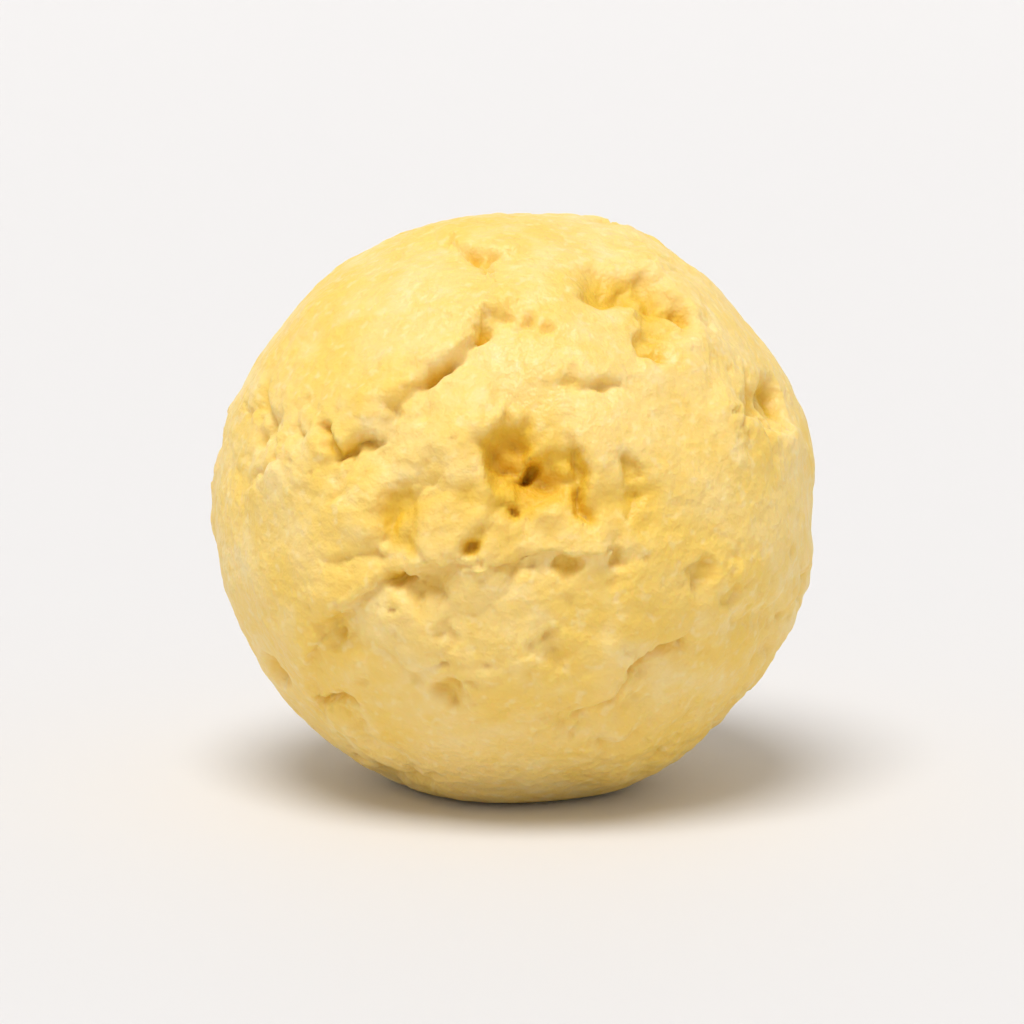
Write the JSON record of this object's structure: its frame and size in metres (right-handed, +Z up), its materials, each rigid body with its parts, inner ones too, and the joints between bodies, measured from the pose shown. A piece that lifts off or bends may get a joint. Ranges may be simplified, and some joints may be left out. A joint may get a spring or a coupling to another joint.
{
  "type": "unbaked cheese bread ball",
  "caption": "Hand-rolled ball of raw yellow cheese and starch dough with a torn, pitted, lumpy surface, settled on a small flat spot, ready to bake.",
  "frame": {"origin": "middle of the flat spot that the ball rests on", "axes": "+Z up through the middle of the ball; the side with the long torn crease faces -Y"},
  "size_m": [0.0356, 0.0353, 0.0338],
  "materials": {
    "raw_dough": "moist satin raw dough, pale yellow with golden pits"
  },
  "bodies": {
    "root": {"dough_ball": "raw_dough"}
  },
  "joints": []
}
